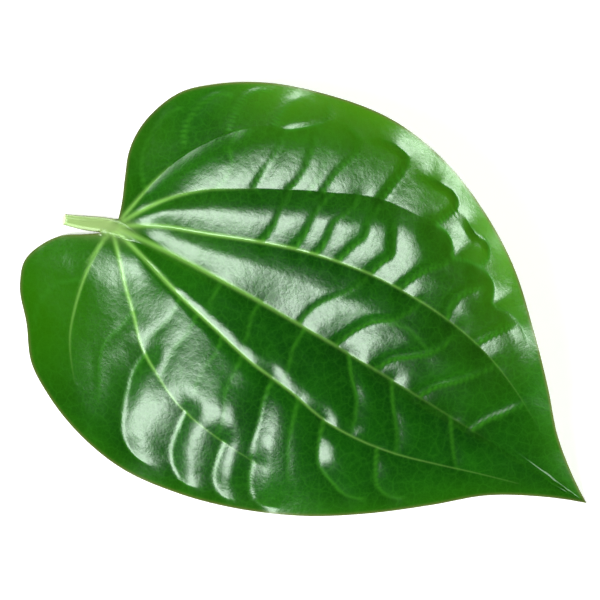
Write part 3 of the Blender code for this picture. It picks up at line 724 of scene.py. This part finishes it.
def make_leaf_mesh(form):
    """The whole leaf as one closed mesh: both faces of the blade, its rim and the stalk."""
    body = bmesh.new()
    row_of = body.verts.layers.int.new("row")
    column_of = body.verts.layers.int.new("column")
    under = body.verts.layers.float.new("under")
    names = ("rib", "vein", "rim", "pale", "crease_shade", "edge", "stalk", "cut")
    layers = {name: body.verts.layers.float.new(name) for name in names}
    blade_sheet(body, row_of, column_of)
    lower = bmesh.ops.extrude_face_region(body, geom=body.faces[:], use_keep_orig=True)["geom"]
    for item in lower:
        if isinstance(item, bmesh.types.BMVert):
            item[under] = 1.0
    lay_blade(body, row_of, column_of, under, layers, form)
    ring, turns = open_mouth(body, row_of, column_of, under)
    stalk_rings(body, ring, turns, form.blade_thickness / MM, layers)
    bmesh.ops.recalc_face_normals(body, faces=body.faces)
    for face in body.faces:
        face.smooth = True
        face.material_index = 1 if all(vert[under] > 0.5 for vert in face.verts) else 0
    mesh = bpy.data.meshes.new("betel_leaf")
    body.to_mesh(mesh)
    body.free()
    mesh.set_sharp_from_angle(angle=SHARP_TURN)
    return mesh


def add(tree, kind, settings=None, **inputs):
    """Add a shader node, set its settings, and set or link each named or numbered input."""
    node = tree.nodes.new(kind)
    for name, value in (settings or {}).items():
        setattr(node, name, value)
    for name, value in inputs.items():
        key = int(name[1:]) if name[0] == "_" and name[1:].isdigit() else name.replace("_", " ")
        socket = node.inputs[key]
        if isinstance(value, bpy.types.NodeSocket):
            tree.links.new(value, socket)
        else:
            socket.default_value = value
    return node


def fresh_material(name):
    """A material with an empty node tree, its shader and its output."""
    material = bpy.data.materials.new(name)
    material.use_nodes = True
    tree = material.node_tree
    tree.nodes.clear()
    shader = add(tree, "ShaderNodeBsdfPrincipled")
    add(tree, "ShaderNodeOutputMaterial", Surface=shader.outputs[0])
    return material, tree, shader


def attribute(tree, name):
    """A share stored in the mesh."""
    return add(tree, "ShaderNodeAttribute", {"attribute_name": name}).outputs["Fac"]


def blend(tree, share, below, above):
    """Mix two colours by a share."""
    below = below if isinstance(below, bpy.types.NodeSocket) else (*below, 1)
    above = above if isinstance(above, bpy.types.NodeSocket) else (*above, 1)
    node = add(tree, "ShaderNodeMix", {"data_type": "RGBA"}, _0=share, _6=below, _7=above)
    return node.outputs[2]


def scaled(tree, value, low, high, to_low, to_high):
    """Bring a value from one range into another."""
    node = add(tree, "ShaderNodeMapRange", {}, Value=value, From_Min=low, From_Max=high, To_Min=to_low,
               To_Max=to_high)
    return node.outputs[0]


def noise(tree, place, **inputs):
    """Soft noise over a place."""
    return add(tree, "ShaderNodeTexNoise", {}, Vector=place, **inputs)


def cell_edges(tree, place, scale):
    """Distance to the nearest edge of a net of cells."""
    net = add(tree, "ShaderNodeTexVoronoi", {"feature": "DISTANCE_TO_EDGE"}, Vector=place, Scale=scale)
    return net.outputs["Distance"]


def upper_face_material(colours):
    """Living leaf, upper side: a waxy cuticle over deep green tissue, puckered by its finest net."""
    material, tree, shader = fresh_material("leaf_waxy_upper_face")
    place = add(tree, "ShaderNodeTexCoord").outputs["Object"]
    # Blotches of deeper and fresher green about 14 mm across
    blotch = noise(tree, place, Scale=70.0, Detail=3.0, Roughness=0.55).outputs[0]
    # Areoles, the finest meshes of the net, about 1.1 mm across; a real one is half that
    warp = noise(tree, place, Scale=500.0, Detail=2.0).outputs["Color"]
    by = (0.0012, 0.0012, 0.0012)
    shifted = add(tree, "ShaderNodeVectorMath", {"operation": "MULTIPLY_ADD"}, _0=warp, _1=by, _2=place)
    shifted = shifted.outputs[0]
    fine = cell_edges(tree, shifted, 900.0)
    # The next coarser net, about 3 mm across
    broad = cell_edges(tree, shifted, 330.0)
    green = blend(tree, scaled(tree, blotch, 0.35, 0.68, 0.0, 1.0), colours.deep_green, colours.fresh_green)
    # Painted shade: deep green in the creases along ribs and veins, the cells' crowns left fresher
    green = blend(tree, attribute(tree, "crease_shade"), green, colours.deep_green)
    # Paler yellow-green of the lobes and margin; the wider band of it along the left margin is painted sheen
    green = blend(tree, attribute(tree, "pale"), green, colours.lobe_green)
    # Painted sheen: brighter green along the left margin, where the wax shines
    green = blend(tree, attribute(tree, "edge"), green, colours.margin_sheen_green)
    green = blend(tree, scaled(tree, fine, 0.0, 0.16, 0.12, 0.0), green, colours.net_green)
    green = blend(tree, scaled(tree, broad, 0.0, 0.09, 0.14, 0.0), green, colours.net_green)
    green = blend(tree, attribute(tree, "vein"), green, colours.vein_green)
    green = blend(tree, attribute(tree, "rib"), green, colours.rib_green)
    green = blend(tree, attribute(tree, "stalk"), green, colours.stalk_green)
    green = blend(tree, attribute(tree, "rim"), green, colours.rim_brown)
    green = blend(tree, attribute(tree, "cut"), green, colours.cut_grey)
    tree.links.new(green, shader.inputs["Base Color"])
    # The wax is a little rougher in specks under a millimetre across
    speckle = noise(tree, place, Scale=1400.0, Detail=3.0, Roughness=0.6).outputs[0]
    tree.links.new(scaled(tree, speckle, 0.3, 0.7, 0.18, 0.24), shader.inputs["Roughness"])
    shader.inputs["IOR"].default_value = 1.5
    shader.inputs["Specular Tint"].default_value = (0.84, 1, 0.86, 1)
    # The net is pressed in by some hundredths of a millimetre, and the tissue is softly uneven over 5 mm
    dimple = scaled(tree, fine, 0.0, 0.3, 0.0, 1.0)
    uneven = noise(tree, place, Scale=210.0, Detail=2.0, Roughness=0.5).outputs[0]
    pressed = add(tree, "ShaderNodeBump", {}, Strength=0.22, Distance=0.00003, Height=dimple).outputs[0]
    rolling = add(tree, "ShaderNodeBump", {}, Strength=0.55, Distance=0.00022, Height=uneven, Normal=pressed)
    tree.links.new(rolling.outputs[0], shader.inputs["Normal"])
    return material


def underside_material(colours):
    """Living leaf, lower side: paler and matt, its ribs standing proud."""
    material, tree, shader = fresh_material("leaf_matt_underside")
    place = add(tree, "ShaderNodeTexCoord").outputs["Object"]
    # Its net is about 2 mm across and stands out, paler than the tissue
    net = cell_edges(tree, place, 500.0)
    green = blend(tree, scaled(tree, net, 0.0, 0.12, 0.55, 0.0), colours.under_green, colours.rib_green)
    green = blend(tree, attribute(tree, "vein"), green, colours.rib_green)
    green = blend(tree, attribute(tree, "rib"), green, colours.rib_green)
    green = blend(tree, attribute(tree, "stalk"), green, colours.stalk_green)
    green = blend(tree, attribute(tree, "rim"), green, colours.rim_brown)
    green = blend(tree, attribute(tree, "cut"), green, colours.cut_grey)
    tree.links.new(green, shader.inputs["Base Color"])
    shader.inputs["Roughness"].default_value = 0.62
    shader.inputs["IOR"].default_value = 1.45
    bump = add(tree, "ShaderNodeBump", {"invert": True}, Strength=0.6, Distance=0.0001, Height=net)
    tree.links.new(bump.outputs[0], shader.inputs["Normal"])
    return material


def floor_material(colours):
    """Matt white light table under the leaf, which leaves hardly any shadow."""
    material, tree, shader = fresh_material("floor_matt_white_light_table")
    place = add(tree, "ShaderNodeTexCoord").outputs["Object"]
    grain = noise(tree, place, Scale=60.0, Detail=2.0).outputs[0]
    tree.links.new(scaled(tree, grain, 0.0, 1.0, 0.8, 0.9), shader.inputs["Roughness"])
    shader.inputs["Base Color"].default_value = (*colours.floor_white, 1)
    shader.inputs["Specular IOR Level"].default_value = 0.1
    shader.inputs["Emission Color"].default_value = (1, 1, 1, 1)
    shader.inputs["Emission Strength"].default_value = 0.45
    return material


def colour_property(name, description, shade):
    """A colour that a user may change."""
    return FloatVectorProperty(name=name, description=description, subtype="COLOR", size=3, min=0, max=1,
                               default=linear(shade))


def length_property(name, description, default, least=0.0):
    """A length in metres that a user may change."""
    return FloatProperty(name=name, description=description, default=default, min=least, precision=5,
                         unit="LENGTH")


def power_property(name, description, default):
    """A lamp's power that a user may change."""
    return FloatProperty(name=name, description=description, default=default, min=0, unit="POWER")


def angle_property(name, description, degrees):
    """An angle that a user may change."""
    return FloatProperty(name=name, description=description, default=math.radians(degrees), unit="ROTATION")


class BetelLeafForm(bpy.types.PropertyGroup):
    """Thickness and relief of the blade"""
    blade_thickness: length_property("Blade thickness", "Thickness between the ribs", 0.00038, 0.0001)
    rib_relief: length_property("Rib relief", "How deep the main ribs draw the blade in", 0.0014)
    vein_relief: length_property("Vein relief", "How deep the side veins draw the blade in", 0.00085)
    rim_lift: length_property("Rim lift", "How far the margin is lifted", 0.0006)


class BetelLeafColours(bpy.types.PropertyGroup):
    """Colours of the leaf and the floor"""
    # Deep green is also the painted shade in the creases
    deep_green: colour_property("Deep green", "Darkest tissue of the upper face", "#053902")
    fresh_green: colour_property("Fresh green", "Brighter tissue of the upper face", "#0f4c04")
    # Lobe green also carries painted sheen in the wider band along the left margin
    lobe_green: colour_property("Lobe green", "Yellow-green tissue of the lobes and the margin", "#276500")
    # Edge green is painted sheen along the left margin
    margin_sheen_green: colour_property("Edge green", "Bright tissue along the left margin", "#4a860c")
    net_green: colour_property("Net green", "Lines of the finest net", "#2f7a14")
    vein_green: colour_property("Vein green", "Side veins", "#2f7414")
    rib_green: colour_property("Rib green", "Main ribs", "#6fa646")
    under_green: colour_property("Underside green", "Tissue of the lower face", "#6d9a4c")
    stalk_green: colour_property("Stalk green", "Skin of the stalk", "#8fae68")
    rim_brown: colour_property("Rim", "Dried line along the margin", "#5a6630")
    cut_grey: colour_property("Cut end", "Dried fibres of the cut stalk", "#a9aa8a")
    floor_white: colour_property("Floor", "Light table under the leaf", "#f7f7f5")


class BetelLeafStudio(bpy.types.PropertyGroup):
    """Camera and lights"""
    lens: FloatProperty(name="Lens", description="Focal length", default=300.0, min=20, max=600,
                        unit="CAMERA")
    view_width: length_property("View width", "Width seen at the leaf", 0.1423, 0.05)
    roll: angle_property("Roll", "Turn of the camera about the view", 30.12)
    key_tilt: angle_property("Key tilt", "Softbox's angle from straight above", 36)
    key_turn: angle_property("Key turn", "Softbox's direction in the plan", -129)
    key_size: length_property("Key size", "Softbox's width", 0.34, 0.05)
    key_power: power_property("Key power", "Softbox's power", 1.6)
    core_size: length_property("Core size", "Width of its bright middle", 0.21, 0.02)
    core_power: power_property("Core power", "Power of its bright middle", 1.5)
    wall_light: FloatProperty(name="Wall light", description="Brightness of the pale walls round the table",
                              default=7.2, min=0)


def make_piece(name, mesh, materials):
    """An object at the origin with its materials."""
    piece = bpy.data.objects.new(name, mesh)
    bpy.context.scene.collection.objects.link(piece)
    for material in materials:
        mesh.materials.append(material)
    return piece


class BETEL_OT_leaf(bpy.types.Operator):
    """Build the leaf: blade, ribs, veins and stalk in one piece"""
    bl_idname = "betel.leaf"
    bl_label = "Betel leaf"

    def execute(self, context):
        colours = context.scene.betel_colours
        mesh = make_leaf_mesh(context.scene.betel_form)
        piece = make_piece("betel_leaf", mesh, [upper_face_material(colours), underside_material(colours)])
        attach(piece, "root")
        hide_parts("leaf")
        return {"FINISHED"}


class BETEL_OT_stage(bpy.types.Operator):
    """Set the pale floor, the soft light and the camera straight above"""
    bl_idname = "betel.stage"
    bl_label = "Floor, light and camera"

    def execute(self, context):
        scene = context.scene
        studio = scene.betel_studio
        body = bmesh.new()
        bmesh.ops.create_grid(body, x_segments=8, y_segments=8, size=FLOOR_REACH)
        bmesh.ops.translate(body, verts=body.verts, vec=(0, 0, -FLOOR_DROP))
        mesh = bpy.data.meshes.new("floor")
        body.to_mesh(mesh)
        body.free()
        floor = make_piece("floor", mesh, [floor_material(scene.betel_colours)])
        self.add_walls(scene, studio)
        self.add_key(scene, studio)
        self.add_camera(scene, studio)
        scene.view_settings.view_transform = "Standard"
        return {"FINISHED"}

    def add_walls(self, scene, studio):
        """Pale walls all round, dark overhead, so that only the softbox shines in the wax."""
        world = bpy.data.worlds.new("studio")
        scene.world = world
        world.use_nodes = True
        tree = world.node_tree
        tree.nodes.clear()
        direction = add(tree, "ShaderNodeTexCoord").outputs["Generated"]
        upward = add(tree, "ShaderNodeSeparateXYZ", {}, Vector=direction).outputs[2]
        glow = scaled(tree, upward, *WALL_TOP, 1.0, OVERHEAD_GLOW)
        strength = add(tree, "ShaderNodeMath", {"operation": "MULTIPLY"}, _0=glow, _1=studio.wall_light)
        background = add(tree, "ShaderNodeBackground", {}, Color=(1, 1, 1, 1), Strength=strength.outputs[0])
        add(tree, "ShaderNodeOutputWorld", {}, Surface=background.outputs[0])

    def add_key(self, scene, studio):
        """A big round softbox with a brighter middle, on the stalk's side, so that slopes facing it shine."""
        away = Vector((math.cos(studio.key_turn), math.sin(studio.key_turn), 0)) * math.sin(studio.key_tilt)
        away.z = math.cos(studio.key_tilt)
        for name, size, power, distance in (
                ("softbox", studio.key_size, studio.key_power, SOFTBOX_DISTANCE),
                ("softbox_front", studio.core_size, studio.core_power, CORE_DISTANCE)):
            light = bpy.data.lights.new(name, "AREA")
            light.shape = "DISK"
            light.size = size
            light.energy = power
            lamp = bpy.data.objects.new(name, light)
            scene.collection.objects.link(lamp)
            lamp.location = away * distance
            lamp.rotation_euler = away.to_track_quat("Z", "Y").to_euler()

    def add_camera(self, scene, studio):
        """Long lens straight above, turned so that the leaf lies slanting as in the picture."""
        camera = bpy.data.cameras.new("camera")
        camera.lens = studio.lens
        camera.clip_start = 0.01
        eye = bpy.data.objects.new("camera", camera)
        scene.collection.objects.link(eye)
        eye.location = in_frame(VIEW_MIDDLE, VIEW_LEVEL)
        eye.location.z += studio.lens * studio.view_width / camera.sensor_width
        eye.rotation_euler = (0, 0, studio.roll)
        scene.camera = eye


class BETEL_PT_panel(bpy.types.Panel):
    """Lists the leaf's and the studio's operators"""
    bl_idname = "BETEL_PT_panel"
    bl_label = "Betel leaf"
    bl_space_type = "VIEW_3D"
    bl_region_type = "UI"
    bl_category = "Betel leaf"

    def draw(self, context):
        for operator in STEPS:
            self.layout.operator(operator.bl_idname)
        for group in (context.scene.betel_form, context.scene.betel_colours, context.scene.betel_studio):
            for name in group.__annotations__:
                self.layout.prop(group, name)


STEPS = (BETEL_OT_leaf, BETEL_OT_stage)
CLASSES = (BetelLeafForm, BetelLeafColours, BetelLeafStudio) + STEPS + (BETEL_PT_panel,)


def register():
    for item in CLASSES:
        bpy.utils.register_class(item)
    bpy.types.Scene.betel_form = PointerProperty(type=BetelLeafForm)
    bpy.types.Scene.betel_colours = PointerProperty(type=BetelLeafColours)
    bpy.types.Scene.betel_studio = PointerProperty(type=BetelLeafStudio)


def unregister():
    del bpy.types.Scene.betel_studio
    del bpy.types.Scene.betel_colours
    del bpy.types.Scene.betel_form
    for item in reversed(CLASSES):
        bpy.utils.unregister_class(item)


def main():
    register()
    bpy.ops.betel.leaf()
    bpy.ops.betel.stage()


if __name__ == "__main__":
    main()
